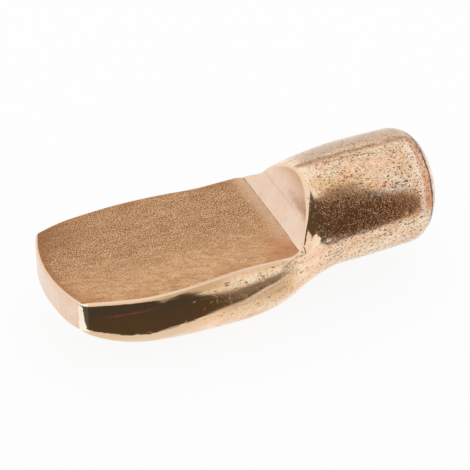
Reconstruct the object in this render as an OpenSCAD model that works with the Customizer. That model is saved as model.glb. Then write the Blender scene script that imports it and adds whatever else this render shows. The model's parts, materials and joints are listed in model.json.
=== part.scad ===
// Shelf support pin, spoon type: one cold-pressed piece of copper-plated steel.
// A round pin plugs into the cabinet side, and a flat leaf-shaped blade carries the shelf.
// The pin axis is X, with the free end at +X. The seat faces +Z.
// The origin is on the pin axis, where the round pin leaves the cabinet side.

/* [Pin] */
// Diameter of the round pin
pin_d = 4.9; // [4.6:0.1:5.4]
// Length of the round pin that plugs in
pin_len = 3.8; // [3:0.1:10]
// Radius on the edge of the free end
end_round = 1.1; // [0.2:0.05:1.4]

/* [Blade] */
// Length of the seat, from the foot of the ramp to the middle of the tip
blade_len = 9.7; // [8:0.1:14]
// Width of the blade where it is widest
blade_w = 6.3; // [6:0.1:8]
// Width of the blade at its tip
tip_w = 5; // [4:0.1:5.8]
// Width of the blade at the foot of the ramp
root_w = 5.5; // [5.4:0.05:6]
// Distance from the foot of the ramp to the widest place
widest_at = 5.6; // [4:0.1:6.5]
// Height of the bow of the tip
tip_bow = 0.55; // [0.2:0.05:1]
// Thickness of the blade at the tip
tip_t = 1.3; // [0.8:0.05:1.8]
// Height of the seat above the pin axis
seat_h = 0.3; // [0:0.05:0.6]

/* [Underside] */
// Depth of the belly below the seat at the foot of the ramp
belly_depth = 3.5; // [3.1:0.05:4]
// Gentle rise of the underside between the belly and the toe
underside_rise = 1.7; // [0.8:0.05:1.8]
// Length of the rounded toe that turns up to the tip
toe_len = 3.1; // [1.5:0.1:5]
// Squareness of the lower corners along the blade, where 2 is round
corner_power = 4.8; // [2.6:0.1:6]
// Squareness of the lower corners at the tip
tip_power = 10.5; // [6:0.5:12]

/* [Ramp and neck] */
// Length of the ramp between the seat and its crest
ramp_run = 1; // [0.8:0.05:1.5]
// Height of the crest above the pin axis
crest_h = 2.35; // [1.8:0.05:2.4]
// Distance from the foot of the ramp to the knee where it turns steeper
knee_run = 0.55; // [0.4:0.05:0.7]
// Height of that knee above the seat
knee_h = 0.8; // [0.5:0.05:0.9]
// Length of the neck, from the crest to the round pin
neck_len = 1.9; // [1.4:0.05:2.2]
// Distance from the foot of the ramp over which the flanks and the belly draw in to the pin
flank_len = 2.4; // [2:0.05:2.5]
// Roundness of the crown behind the ramp, where 2 is round and less is more pointed
crown_power = 1.9; // [1.7:0.05:2]
// Height by which the shoulder of the flank hangs below the seat beside the ramp
shoulder_drop = 0.25; // [0.1:0.05:0.8]
// Distance along the blade over which that shoulder fades out
shoulder_len = 3.6; // [2:0.1:5]

/* [Hidden] */

pin_r = pin_d / 2;
// Points round each section of the forged body, and the greatest spacing of the sections
ring_points = 48;
ring_step = 0.35;
// The forged body runs this far into the round pin, and is this much thinner there
overlap = 0.4;
bite = 0.01;
// Overrun of the cutting solids past the metal
over = 4;

crest_x = -neck_len;
foot_x = crest_x - ramp_run;
tip_x = foot_x - blade_len;
tip_corner_x = tip_x + tip_bow;
widest_x = foot_x - widest_at;
tip_r = (pow(tip_w / 2, 2) + pow(tip_bow, 2)) / (2 * tip_bow);

// Smooth step from 0 at u <= 0 to 1 at u >= 1
function ease(u) = (1 - cos(180 * min(max(u, 0), 1))) / 2;
function mix(a, b, u) = a + (b - a) * u;
function signed_pow(v, p) = sign(v) * pow(abs(v), p);

// Part of the way in along the flanks of the neck, and from the crest to the round pin
function flank_part(x) = ease((x - foot_x) / flank_len);
function back_part(x) = ease(1 - x / crest_x);
// Part of the way from the foot of the ramp to the corners of the tip
function tip_part(x) = min(max((foot_x - x) / (foot_x - tip_corner_x), 0), 1);

// Half width of the forged body
function half_width(x) =
    x < widest_x ? blade_w / 2 - (blade_w - tip_w) / 2 * pow((widest_x - x) / (widest_x - tip_corner_x), 2) :
    x < foot_x ? mix(blade_w, root_w, ease((x - widest_x) / widest_at)) / 2 :
    mix(root_w / 2, pin_r - bite, flank_part(x));

// Level at which a section is widest
function widest_level(x) =
    x < foot_x ? seat_h - shoulder_drop * ease(1 - (foot_x - x) / shoulder_len) :
    mix(seat_h - shoulder_drop, 0, flank_part(x));

// Lowest level of a section: a parabola from the belly, with an elliptic toe that turns up at the tip
belly_level = seat_h - belly_depth;
toe_rise = belly_depth - underside_rise - tip_t;
toe_reach = 0.96;
function quarter(u) = 1 - sqrt(1 - u * u);
function toe_part(x) =
    quarter(toe_reach * max(1 - (max(x, tip_corner_x) - tip_corner_x) / toe_len, 0)) / quarter(toe_reach);
function bottom_level(x) =
    x < foot_x ? belly_level + underside_rise * pow(tip_part(x), 2) + toe_rise * toe_part(x) :
    mix(belly_level, bite - pin_r, flank_part(x));

// Highest level of a section
function top_level(x) = mix(crest_h, pin_r - bite, back_part(x));

// Powers of the curves of the upper and the lower half of a section, where 2 is an ellipse
function upper_power(x) = mix(crown_power, 2, back_part(x));
function lower_power(x) =
    mix(2, corner_power, ease((foot_x - x) / shoulder_len + 0.3)) * (1 - flank_part(x)) + 2 * flank_part(x)
    + (tip_power - corner_power) * pow(tip_part(x), 4);

// Closed curve of one section, as points in space
function section(x) =
    let (mid = widest_level(x), up = top_level(x) - mid, down = mid - bottom_level(x),
         upper = 2 / upper_power(x), lower = 2 / lower_power(x), half = half_width(x))
    [for (i = [0 : ring_points - 1])
        let (a = 360 * i / ring_points, above = sin(a) >= 0, power = above ? upper : lower)
        [x, half * signed_pow(cos(a), power), mid + (above ? up : down) * signed_pow(sin(a), power)]];

// Solid skin over a list of closed sections with equally many points
module skin(sections) {
    n = len(sections[0]);
    last = len(sections) - 1;
    sides = [for (j = [0 : last - 1], i = [0 : n - 1])
        let (next = (i + 1) % n)
        [j * n + i, (j + 1) * n + i, (j + 1) * n + next, j * n + next]];
    start = [for (i = [0 : n - 1]) i];
    end = [for (i = [n - 1 : -1 : 0]) last * n + i];
    polyhedron(points = [for (s = sections) each s], faces = concat([start], sides, [end]), convexity = 4);
}

// Forged body: blade, belly and neck, before the seat is pressed flat and the tip is trimmed
module forged_body() {
    first_x = tip_x - 0.1;
    gaps = ceil(-first_x / ring_step);
    skin(concat([for (j = [0 : gaps]) section(mix(first_x, 0, j / gaps))], [section(overlap)]));
}

// Round pin with its rounded free end, turned about the X axis
module pin() {
    rotate([0, 90, 0]) rotate_extrude($fn = 96) difference() {
        square([pin_r, pin_len]);
        translate([pin_r - end_round, pin_len - end_round]) difference() {
            square(end_round + 1);
            circle(end_round, $fn = 96);
        }
    }
}

// Space that the press tool takes: flat over the seat, and over the two faces of the ramp
module seat_waste() {
    slope = (crest_h - seat_h - knee_h) / (ramp_run - knee_run);
    knee_x = foot_x + knee_run;
    top = seat_h + knee_h + over;
    rotate([90, 0, 0]) linear_extrude(4 * over, center = true)
        polygon([[tip_x - over, seat_h], [foot_x, seat_h], [knee_x, seat_h + knee_h],
                 [knee_x + over / slope, top], [tip_x - over, top]]);
}

// Metal trimmed off round the bowed tip
module tip_waste() {
    linear_extrude(4 * over, center = true) difference() {
        translate([tip_x - over, -2 * over]) square([over + tip_bow, 4 * over]);
        translate([tip_x + tip_r, 0]) circle(tip_r, $fn = 180);
    }
}

module shelf_pin() {
    color([0.80, 0.58, 0.42]) difference() {
        union() {
            forged_body();
            pin();
        }
        seat_waste();
        tip_waste();
    }
}

shelf_pin();
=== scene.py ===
"""Shelf support pin: the dressed model of a cold-pressed, tumbled and copper-plated spoon pin."""
import json
import math

import bmesh
import bpy
import numpy as np
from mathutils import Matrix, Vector


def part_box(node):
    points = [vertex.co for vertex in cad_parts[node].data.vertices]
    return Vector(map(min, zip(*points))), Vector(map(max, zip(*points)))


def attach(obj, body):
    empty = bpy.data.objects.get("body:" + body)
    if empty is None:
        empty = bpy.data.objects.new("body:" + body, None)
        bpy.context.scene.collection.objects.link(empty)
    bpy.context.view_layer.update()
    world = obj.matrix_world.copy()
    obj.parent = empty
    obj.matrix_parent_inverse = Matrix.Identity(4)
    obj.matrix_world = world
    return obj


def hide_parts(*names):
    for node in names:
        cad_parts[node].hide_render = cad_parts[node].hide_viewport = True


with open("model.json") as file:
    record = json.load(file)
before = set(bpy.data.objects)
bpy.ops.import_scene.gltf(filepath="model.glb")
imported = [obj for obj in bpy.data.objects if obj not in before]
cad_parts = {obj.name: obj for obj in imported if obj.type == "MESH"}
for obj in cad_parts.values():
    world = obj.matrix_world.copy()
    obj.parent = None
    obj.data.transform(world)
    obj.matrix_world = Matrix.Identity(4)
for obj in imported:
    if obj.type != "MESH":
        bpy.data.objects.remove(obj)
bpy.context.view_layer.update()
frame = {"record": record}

MM = 0.001
PER_MM = (1 / MM, 1 / MM, 1 / MM)

# ---------- sizes, in millimetres
# The pin's axis is X, with its free end at +X. The seat faces +Z. The near side is at -Y.
BOX_LOW, BOX_HIGH = (np.array(corner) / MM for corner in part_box("shelf_pin"))
PIN_MOUNT = next(m for m in frame["record"]["mounts"] if m["name"] == "pin")
SEAT_MOUNT = next(m for m in frame["record"]["mounts"] if m["name"] == "shelf_seat")
PIN_R = PIN_MOUNT["dims"]["r_mm"]
PIN_LEN = BOX_HIGH[0]
END_ROUND = PIN_LEN - PIN_MOUNT["dims"]["length_mm"]
SEAT_H = SEAT_MOUNT["pos_m"][2] / MM
TIP_X = BOX_LOW[0]
BLADE_W = BOX_HIGH[1] - BOX_LOW[1]
BELLY_DEPTH = SEAT_H - BOX_LOW[2]

NECK_LEN = 1.9  # from the crest of the ramp to the round pin
RAMP_RUN = 1.0  # from the foot of the ramp to its crest
CREST_H = 2.35  # height of the crest above the pin's axis
KNEE_RUN = 0.55  # from the foot of the ramp to the knee where it turns steeper
KNEE_H = 0.8  # height of the knee above the seat
TIP_W = 5.0  # width of the blade at its tip
ROOT_W = 5.5  # width of the blade at the foot of the ramp
WIDEST_AT = 5.6  # from the foot of the ramp to the widest place
TIP_BOW = 0.55  # height of the bow of the tip
TIP_T = 1.3  # thickness of the blade at the tip
UNDERSIDE_RISE = 1.7  # rise of the underside between the belly and the toe
TOE_LEN = 3.1  # length of the rounded toe that turns up to the tip
TOE_REACH = 0.96  # share of a quarter turn that the toe makes
CORNER_POWER = 4.8  # squareness of the lower corners along the blade, where 2 is round
SQUARE_START = 0.3  # share of it that the corners already have at the foot of the ramp
TIP_POWER = 13  # squareness of the lower corners at the tip
SHOULDER_DROP = 0.25  # by which the shoulder of the flank hangs below the seat beside the ramp
SHOULDER_LEN = 3.6  # distance along the blade over which that shoulder fades out
BELLY_END_X = -0.5  # the belly has drawn in to the pin here

# How this pin strays from the drawing. A fade is its start and the length over which it grows, from 0 to 1;
# a negative length makes it grow downwards or towards the tip.
FLANK_BULGE = 0.36  # by which pressing squeezes the flank out beside the ramp
FAR_BULGE = 0.7  # share of it on the far side
RIM_BULGE = 0.7  # share of it that is left at the seat's edge by the ramp
BULGE_FADE = (-8.2, 4.2)
BULGE_ACROSS = (1.2, 1.2)
RIM_BULGE_FADE = (-5.8, 2.6)
FLANK_LEVEL = -0.62  # level at which the flank is widest
LEVEL_RISE = 0.4  # by which that level rises towards the ramp
LEVEL_FADE = (-7.0, 3.0)
UNDER_BULGE = 0.45  # the bulge fades out from this far below its level, over the next length
UNDER_FADE = 1.0
FLANK_TURN = 1.1  # length over which the flank's end rounds in to the neck
FLANK_END = -0.02  # place of the flank's end behind the foot of the ramp
FLANK_SLANT = 0.4  # slant of that end above the axis
FLANK_SWEEP = (-0.35, 1.6, 1.2)  # level below which it sweeps back, how deep, and the power of the sweep
NECK_BY_RIM = (-0.4, 1.1)  # fade of the neck along the rim, from the foot of the ramp
NECK_BELOW = (-1.9, 2.7)  # fade of the neck low down, from the flank's end
NECK_ABOVE_AXIS = (-0.05, 0.35)  # levels at which the first takes over
NECK_BELOW_AXIS = (-0.5, -0.6)  # levels at which the second takes over
NECK_FULL_FADE = (-0.5, -1.2)  # the neck is fuller below these levels
GUSSET_X = -2.17  # place and level of the highest point of the web at the flank's end
GUSSET_TOP = 0.66
GUSSET_END = -1.6
GUSSET_T = 0.24  # thickness of that web
GUSSET_SIDES = 0.6  # slope of its upper edge, and the rounding of that edge's highest point
GUSSET_PEAK = 0.01
GUSSET_LIFT = 0.06
GUSSET_EDGE = 0.2  # height over which it runs out at that edge
GUSSET_POWER = 1.3  # it runs out along the bar with this power
GUSSET_FADE = (-0.1, -1.5)
CORNER_WEB = 0.22  # by which pressing squeezes out a thin web beside the lower half of the ramp
WEB_WIDTH = 0.9  # distance behind the ramp over which it fades out
WEB_FADE = (-0.25, 0.5)
WEB_LOW_FADE = (-0.3, 0.7)
WEB_HIGH_FADE = (0.25, 0.9)
WEB_START = 0.7  # share of it in the points before they settle
CROWN_DIP = 0.33  # by which pressing drew in the far shoulder of the crown
DIP_LEN = 2.6  # distance behind the ramp over which that fades out
DIP_POWER = 1.7
DIP_TOP = (115, -60)  # fades of the dip round the bar, in degrees from +Y towards +Z
DIP_FOOT = (5, 25)
RIM_TURN = 0.06  # depth and width of the soft rounding behind the rim of the ramp
RIM_WIDTH = 0.25
RIM_FAR_FADE = (30, 30)
RIM_NEAR_FADE = (165, -30)
SETTLED_TO = 1.8  # the skin is settled on to its rounded form up to here
BLADE_LEAN = 0.06  # by which the blade strays to the far side
BLADE_LEAN_FADE = (-4.5, -2.0)
TIP_LEAN = 0.13  # by which its tip strays further
TIP_LEAN_FADE = (-9.0, -2.5)
TIP_HANG = 0.16  # by which the near lower corner of the tip hangs lower
HANG_ALONG = (-8.5, -3.0)
HANG_ACROSS = (-0.4, -1.9)
FAR_CORNER_DROP = 0.03  # by which the crown lies lower at its far shoulder
FAR_CORNER_FADE = (1.6, 0.7)
FAR_CORNER_START = (-0.1, 0.3)
FAR_CORNER_LEN = 1.2
END_TAPER = 0.05  # by which the round pin tapers towards its free end
END_TILT = 0.045  # the free end was sheared off a little out of square
END_SKEW = 0.02
END_LIFT = 0.05
END_POWER = 1.5  # the tilt and the lift grow along the pin with this power

# Roundings of the edges, as tumbling leaves them
TIP_ROUNDING = 0.08
NEAR_TIP_ROUNDING = 0.26
NEAR_TIP_ACROSS = (-1.4, -0.7)
NEAR_TIP_UP = (-1.2, 0.5)
SEAT_ROUNDING = 0.15
RIM_ROUNDING = 0.07
RIM_ROUNDING_FADE = (-0.6, 0.6)
KNEE_ROUNDING = 0.08
FOOT_ROUNDING = 0.06
WORN_FOOT_ROUNDING = 0.35
WORN_FOOT_FADE = (-1.5, -1.0)

CREST_X = -NECK_LEN
FOOT_X = CREST_X - RAMP_RUN
TIP_CORNER_X = TIP_X + TIP_BOW
WIDEST_X = FOOT_X - WIDEST_AT
TIP_R = ((TIP_W / 2) ** 2 + TIP_BOW ** 2) / (2 * TIP_BOW)
BELLY_LEVEL = SEAT_H - BELLY_DEPTH
TOE_RISE = BELLY_DEPTH - UNDERSIDE_RISE - TIP_T
LOWER_SLOPE = KNEE_H / KNEE_RUN
UPPER_SLOPE = (CREST_H - SEAT_H - KNEE_H) / (RAMP_RUN - KNEE_RUN)


# ---------- small helpers
def ease(u):
    """Smooth step from 0 at u <= 0 to 1 at u >= 1."""
    return (1 - np.cos(np.pi * np.clip(u, 0, 1))) / 2


def fade(value, start, length):
    """Smooth step from 0 at the start to 1 a length further on, or further back where it is negative."""
    return ease((value - start) / length)


def mix(a, b, u):
    return a + (b - a) * u


PULL_REACH = 0.06  # share of the stretch over which values are drawn together at an end
TINY = 1e-6


def graded(count, pull_start, pull_end):
    """Values from 0 to 1 that lie closer together towards the pulled ends."""
    u = np.linspace(0, 1, count + 1)
    speed = 1 / (1 + pull_start * np.exp(-u / PULL_REACH) + pull_end * np.exp(-(1 - u) / PULL_REACH))
    total = np.concatenate([[0], np.cumsum((speed[1:] + speed[:-1]) / 2)])
    return total / total[-1]


def smooth_max(a, b, size):
    """The larger of two distances, rounded over where they are nearly equal."""
    h = np.clip(size - np.abs(a - b), 0, None) / size
    return np.maximum(a, b) + h * h * size / 4


def smooth_min(a, b, size):
    return -smooth_max(-a, -b, size)


# ---------- form of the forged bar
def belly_part(x):
    return ease((x - FOOT_X) / (BELLY_END_X - FOOT_X))


def flank_end(z):
    """Place along the bar where the squeezed flank ends, further back lower down."""
    sweep_level, sweep_depth, sweep_power = FLANK_SWEEP
    upper = np.clip(z, 0, SEAT_H)
    below = np.clip(sweep_level - z, 0, sweep_depth)
    return FOOT_X + FLANK_END + FLANK_SLANT * upper - below ** sweep_power


def neck_part(x, z):
    """Share of the round neck in a section: 0 on the flank, 1 behind its rounded end."""
    end = flank_end(z)
    turn = np.clip(1 + (x - end) / FLANK_TURN, 0, 1)
    rounded = 1 - np.sqrt(1 - turn ** 2)
    by_rim = fade(x - FOOT_X, *NECK_BY_RIM)
    low_down = fade(x - end, *NECK_BELOW)
    return mix(mix(rounded, by_rim, fade(z, *NECK_ABOVE_AXIS)), low_down, fade(z, *NECK_BELOW_AXIS))


def flank_bulge(x, z):
    """How far the pressing has squeezed the flank out sideways."""
    swell = FLANK_BULGE * fade(x, *BULGE_FADE)
    level = mix(FLANK_LEVEL, FLANK_LEVEL + LEVEL_RISE, fade(x, *LEVEL_FADE))
    rise = (z - level) / (SEAT_H - level)
    at_rim = RIM_BULGE * fade(x, *RIM_BULGE_FADE)
    over = np.clip(1 - (1 - at_rim) * rise ** 2, 0, 1)
    under = 1 - ease((level - UNDER_BULGE - z) / UNDER_FADE)
    return swell * np.where(z > level, over, under) * (1 - neck_part(x, z))


def gusset(x, z):
    """Web of metal in the corner between the flank's end and the round neck."""
    along = np.clip((GUSSET_END - x) / (GUSSET_END - FOOT_X), 0, 1)
    top = GUSSET_TOP + GUSSET_LIFT - GUSSET_SIDES * np.sqrt((x - GUSSET_X) ** 2 + GUSSET_PEAK)
    return GUSSET_T * along ** GUSSET_POWER * ease((top - z) / GUSSET_EDGE) * (1 - fade(z, *GUSSET_FADE))


def corner_web(x, z):
    """Thin web of metal squeezed out beside the lower half of the ramp."""
    behind = np.clip(-ramp_distance(x, z), 0, None)
    level = fade(z, *WEB_LOW_FADE) * (1 - fade(z, *WEB_HIGH_FADE))
    return CORNER_WEB * level * fade(x - FOOT_X, *WEB_FADE) * (1 - ease(behind / WEB_WIDTH))


def neck_half(x, z):
    """Half width of the round neck, which is a little fuller low down."""
    low = mix(ROOT_W / 2, PIN_R, belly_part(x))
    return mix(PIN_R, low, fade(z, *NECK_FULL_FADE)) + gusset(x, z)


def half_width(x, z):
    fore = BLADE_W / 2 - (BLADE_W - TIP_W) / 2 * ((WIDEST_X - x) / (WIDEST_X - TIP_CORNER_X)) ** 2
    aft = mix(BLADE_W, ROOT_W, ease((x - WIDEST_X) / WIDEST_AT)) / 2
    blade = np.where(x < WIDEST_X, fore, aft)
    blade = np.where(x < FOOT_X, blade, ROOT_W / 2)
    return mix(blade, np.minimum(neck_half(x, z), blade), neck_part(x, z))


def shoulder_part(x):
    return (FOOT_X - x) / SHOULDER_LEN


def widest_level(x):
    blade = SEAT_H - SHOULDER_DROP * ease(1 - shoulder_part(x))
    return np.where(x < FOOT_X, blade, mix(SEAT_H - SHOULDER_DROP, 0, belly_part(x)))


def tip_part(x):
    return np.clip((FOOT_X - x) / (FOOT_X - TIP_CORNER_X), 0, 1)


def bottom_level(x):
    to_tip = TOE_REACH * np.clip(1 - (np.maximum(x, TIP_CORNER_X) - TIP_CORNER_X) / TOE_LEN, 0, 1)
    toe = (1 - np.sqrt(1 - to_tip ** 2)) / (1 - math.sqrt(1 - TOE_REACH ** 2))
    blade = BELLY_LEVEL + UNDERSIDE_RISE * tip_part(x) ** 2 + TOE_RISE * toe
    return np.where(x < FOOT_X, blade, mix(BELLY_LEVEL, -PIN_R, belly_part(x)))


def lower_power(x):
    """Power of a section's lower curve: 2 is an ellipse, more is squarer."""
    along = mix(2, CORNER_POWER, ease(shoulder_part(x) + SQUARE_START))
    neck = belly_part(x)
    return along * (1 - neck) + 2 * neck + (TIP_POWER - CORNER_POWER) * tip_part(x) ** 4


def side_y(x, z):
    """Half width of the bar at a level, on the curve of its section."""
    mid = widest_level(x)
    above = z >= mid
    height = np.where(above, PIN_R - mid, mid - bottom_level(x))
    power = np.where(above, 2, lower_power(x))
    ratio = np.clip(np.abs(z - mid) / height, 0, 1)
    squeezed = flank_bulge(x, z) + WEB_START * corner_web(x, z)
    return half_width(x, z) * (1 - ratio ** power) ** (1 / power) + squeezed


def pin_radius(x):
    return PIN_R - END_TAPER * ease(x / PIN_LEN)


def outward(x):
    """Share of the free end's tilt and lift at a place along the pin."""
    return np.clip(x / PIN_LEN, 0, 1) ** END_POWER


def ramp_distance(x, z):
    """Signed distance to the two faces of the ramp, negative below them."""
    lower = (z - SEAT_H - LOWER_SLOPE * (x - FOOT_X)) / math.hypot(1, LOWER_SLOPE)
    upper = (z - SEAT_H - KNEE_H - UPPER_SLOPE * (x - FOOT_X - KNEE_RUN)) / math.hypot(1, UPPER_SLOPE)
    return smooth_min(lower, upper, KNEE_ROUNDING)


def drawn_in(x, y, z):
    """Depth by which pressing drew in the crown: its far shoulder, and a soft rounding behind the rim."""
    around = np.degrees(np.arctan2(z, y))
    behind = np.clip(-ramp_distance(x, z), 0, None)
    shoulder = fade(around, *DIP_TOP) * fade(around, *DIP_FOOT)
    far = CROWN_DIP * shoulder * (1 - np.clip(behind / DIP_LEN, 0, 1)) ** DIP_POWER
    over_top = RIM_TURN * fade(around, *RIM_FAR_FADE) * fade(around, *RIM_NEAR_FADE)
    return far + over_top * (1 - np.clip(behind / RIM_WIDTH, 0, 1)) ** 2


def bar_distance(x, y, z):
    """Rough signed distance to the forged bar, negative inside."""
    mid = widest_level(x)
    above = z >= mid
    radius = pin_radius(x)
    height = np.where(above | (x > 0), radius - mid, mid - bottom_level(x))
    power = np.where(above, 2, lower_power(x))
    half = np.where(x < 0, half_width(x, z), radius)
    beside = fade(np.abs(y), *BULGE_ACROSS)
    near = y < 0
    squeezed = flank_bulge(x, z) * np.where(near, 1, FAR_BULGE) + corner_web(x, z) * near
    across = np.maximum((np.abs(y) - squeezed * beside) / half, TINY)
    upward = np.maximum(np.abs(z - mid) / height, TINY)
    reach = (across ** power + upward ** power) ** (1 / power)
    slope_y = (across / reach) ** (power - 1) / half
    slope_z = (upward / reach) ** (power - 1) / height
    return (reach - 1) / np.sqrt(slope_y ** 2 + slope_z ** 2) + drawn_in(x, y, z)


def tool_distance(x, y, z):
    """Signed distance to the face of the press tool, whose foot is worn round at the near end."""
    foot = mix(FOOT_ROUNDING, WORN_FOOT_ROUNDING, fade(y, *WORN_FOOT_FADE))
    return smooth_min(z - SEAT_H, ramp_distance(x, z), foot)


def tip_distance(x, y):
    """Signed distance to the bowed face of the tip, negative behind it."""
    return np.hypot(np.minimum(x - TIP_X - TIP_R, 0), y) - TIP_R


def form_distance(p):
    """Signed distance to the finished form, with its edges rounded as tumbling leaves them."""
    x, y, z = p[:, 0], p[:, 1], p[:, 2] - END_LIFT * outward(p[:, 0])
    by_ramp = fade(x - FOOT_X, *FAR_CORNER_START) * (1 - ease((x - CREST_X) / FAR_CORNER_LEN))
    lowered = FAR_CORNER_DROP * fade(y, *FAR_CORNER_FADE) * by_ramp
    bar = bar_distance(x, y, z + lowered)
    near_corner = fade(y, *NEAR_TIP_ACROSS) * fade(z, *NEAR_TIP_UP)
    trimmed = smooth_max(bar, tip_distance(x, y), mix(TIP_ROUNDING, NEAR_TIP_ROUNDING, near_corner))
    rounding = mix(SEAT_ROUNDING, RIM_ROUNDING, fade(x - FOOT_X, *RIM_ROUNDING_FADE))
    return smooth_max(trimmed, tool_distance(x, y, z), rounding)


FARTHEST_GAP = 2  # no edge counts beyond this
SETTLE_STEPS = 5
SETTLE_PROBE = 1e-4  # length of the probes that find the slope of the distance
LEAST_SLOPE = 0.2


def edge_gap(p):
    """Distance from the nearest edge between the bar, the pressed faces and the tip."""
    x, y, z = p[:, 0], p[:, 1], p[:, 2]
    nearest = np.sort(np.stack([bar_distance(x, y, z), tip_distance(x, y), tool_distance(x, y, z)]), axis=0)
    return np.clip(-nearest[1], 0, FARTHEST_GAP)


def settle(p):
    """Moves points on to the finished form along the slope of its distance."""
    p = p.copy()
    for _ in range(SETTLE_STEPS):
        value = form_distance(p)
        probes = [form_distance(p + SETTLE_PROBE * axis) for axis in np.eye(3)]
        slope = np.stack([(probe - value) / SETTLE_PROBE for probe in probes], 1)
        p -= value[:, None] * slope / np.maximum((slope ** 2).sum(1), LEAST_SLOPE)[:, None]
    return p


# ---------- grid of the finished form
ACROSS = 96  # columns across the seat, the ramp, the crown and the belly
DOWN = 46  # columns down each side
BLADE_ROWS = 150  # rows along the blade, the neck, the ramp and the round pin
NECK_ROWS = 46
RAMP_ROWS = 30
PIN_ROWS = 40
END_ROWS = 18  # rows over the rounded end, and rings in to the middle of its face
FACE_RINGS = 14
EDGE_PULL = 3  # how far the rows and columns are drawn together at an edge
RIM_PULL = 4
TIP_PULL = 5
BOW_FADE = 5.0  # distance from the tip over which the rows follow its bow
BOW_MARGIN = 0.2  # the bow is followed this far beyond the tip's corners
ROW_STEPS = 4  # steps in which a row finds its place
ARC_STEPS = 40  # halvings that find the edge between the ramp and the crown
WELD = 2e-4  # points closer than this are one

over_seat = 2 * graded(ACROSS, EDGE_PULL, EDGE_PULL) - 1
over_belly = np.linspace(-1, 1, ACROSS + 1)
down_side = graded(DOWN, RIM_PULL, 0)


def tip_bow_at(y):
    """Distance by which the bowed tip stands back at a place across it."""
    return TIP_R - np.sqrt(TIP_R ** 2 - np.minimum(np.abs(y), TIP_W / 2 + BOW_MARGIN) ** 2)


def corner_split(x):
    """Share of the depth and of the half width at which a section's lower corner lies."""
    return 2 ** (-1 / lower_power(x))


def blade_x(station, y):
    """Stations follow the bow of the tip, and straighten out towards the ramp."""
    bowed = np.clip(1 - (station - TIP_X) / BOW_FADE, 0, 1) ** 2
    return station + tip_bow_at(y) * bowed


def skin_row(station, bowed):
    """One row of the skin below the seat: down the near side, across the belly and up the far side."""
    y_side = np.full(DOWN + 1, half_width(np.float64(station), 0.0))
    x_side = np.full(DOWN + 1, float(station))
    z_side = np.zeros(DOWN + 1)
    for _ in range(ROW_STEPS):
        x_side = blade_x(station, y_side) if bowed else x_side
        mid = widest_level(x_side)
        low = mid - (mid - bottom_level(x_side)) * corner_split(x_side)
        z_side = mix(SEAT_H, low, down_side)
        y_side = side_y(x_side, z_side)
    y_low = over_belly * y_side[-1]
    x_low = blade_x(station, y_low) if bowed else np.full(ACROSS + 1, float(station))
    mid = widest_level(x_low)
    power = lower_power(x_low)
    half = half_width(x_low, z_side[-1])
    rounded = (1 - np.clip(np.abs(y_low) / half, 0, 1) ** power) ** (1 / power)
    z_low = mid - (mid - bottom_level(x_low)) * rounded
    near = np.stack([x_side, -y_side, z_side], 1)
    far = (near * [1, -1, 1])[::-1]
    low = np.stack([x_low, y_low, z_low], 1)
    return np.concatenate([near[:-1], low, far[1:]])


def crown_point(x, share):
    """Point on the crown, where share runs from 0 at the near edge to 1 at the far edge."""
    mid = widest_level(x)
    edge = np.arcsin(np.clip((SEAT_H - mid) / (PIN_R - mid), 0, 1))
    angle = edge + (np.pi - 2 * edge) * share
    z = mid + (PIN_R - mid) * np.sin(angle)
    y = -np.cos(angle) * half_width(x, z) - np.sign(np.cos(angle)) * flank_bulge(x, z)
    kept = 1 - drawn_in(x, y, z) / PIN_R
    return np.stack([x, y * kept, z * kept], -1)


def arc_points(share):
    """Edge between the ramp and the crown, found by halving the stretch between foot and crest."""
    low = np.full(len(share), FOOT_X)
    high = np.full(len(share), CREST_X)
    for _ in range(ARC_STEPS):
        x = (low + high) / 2
        above = ramp_distance(x, crown_point(x, share)[:, 2]) > 0
        low = np.where(above, x, low)
        high = np.where(above, high, x)
    return crown_point(high, share)


def grid_faces(rows, columns, start, turned=False):
    """Corner numbers of the cells of a grid whose points are stored row by row."""
    r, c = np.meshgrid(np.arange(rows), np.arange(columns), indexing="ij")
    first = (start + r * (columns + 1) + c).ravel()
    cells = np.stack([first, first + 1, first + columns + 2, first + columns + 1], 1)
    return cells[:, ::-1] if turned else cells


ZONES = {"seat": 0, "ramp": 1, "tip": 2, "bar": 3}


class Patches:
    """Collects grids of points, and welds them into one closed skin."""

    def __init__(self):
        self.points, self.faces, self.zones, self.count = [], [], [], 0

    def add(self, grid, zone, turned=False):
        grid = np.asarray(grid)
        cells = grid_faces(grid.shape[0] - 1, grid.shape[1] - 1, self.count, turned)
        self.points.append(grid.reshape(-1, 3))
        self.faces.append(cells)
        self.zones.append(np.full(len(cells), ZONES[zone]))
        self.count += grid.shape[0] * grid.shape[1]

    def joined(self):
        return np.concatenate(self.points), np.concatenate(self.faces), np.concatenate(self.zones)


def pin_rows(ring):
    """Rows along the round pin, over its rounded end and in to the middle of its end face."""
    angle = np.arctan2(ring[:, 2], ring[:, 1])
    straight = PIN_LEN - END_ROUND
    outline = [(x, pin_radius(x)) for x in np.linspace(0, straight, PIN_ROWS + 1)]
    for turn in np.linspace(0, np.pi / 2, END_ROWS + 1)[1:]:
        inwards = END_ROUND * (1 - math.cos(turn))
        outline.append((straight + END_ROUND * math.sin(turn), pin_radius(straight) - inwards))
    inner = outline[-1][1]
    for share in np.linspace(0, 1, FACE_RINGS + 1)[1:]:
        outline.append((PIN_LEN, inner * (1 - share)))
    around = np.ones(len(angle))
    rows = np.array([np.stack([x * around, r * np.cos(angle), r * np.sin(angle)], 1) for x, r in outline])
    share = outward(rows[:, :, 0])
    rows[:, :, 0] += (END_TILT * rows[:, :, 2] + END_SKEW * rows[:, :, 1]) * share
    rows[:, :, 2] += END_LIFT * share
    rows[0] = ring
    return rows


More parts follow.
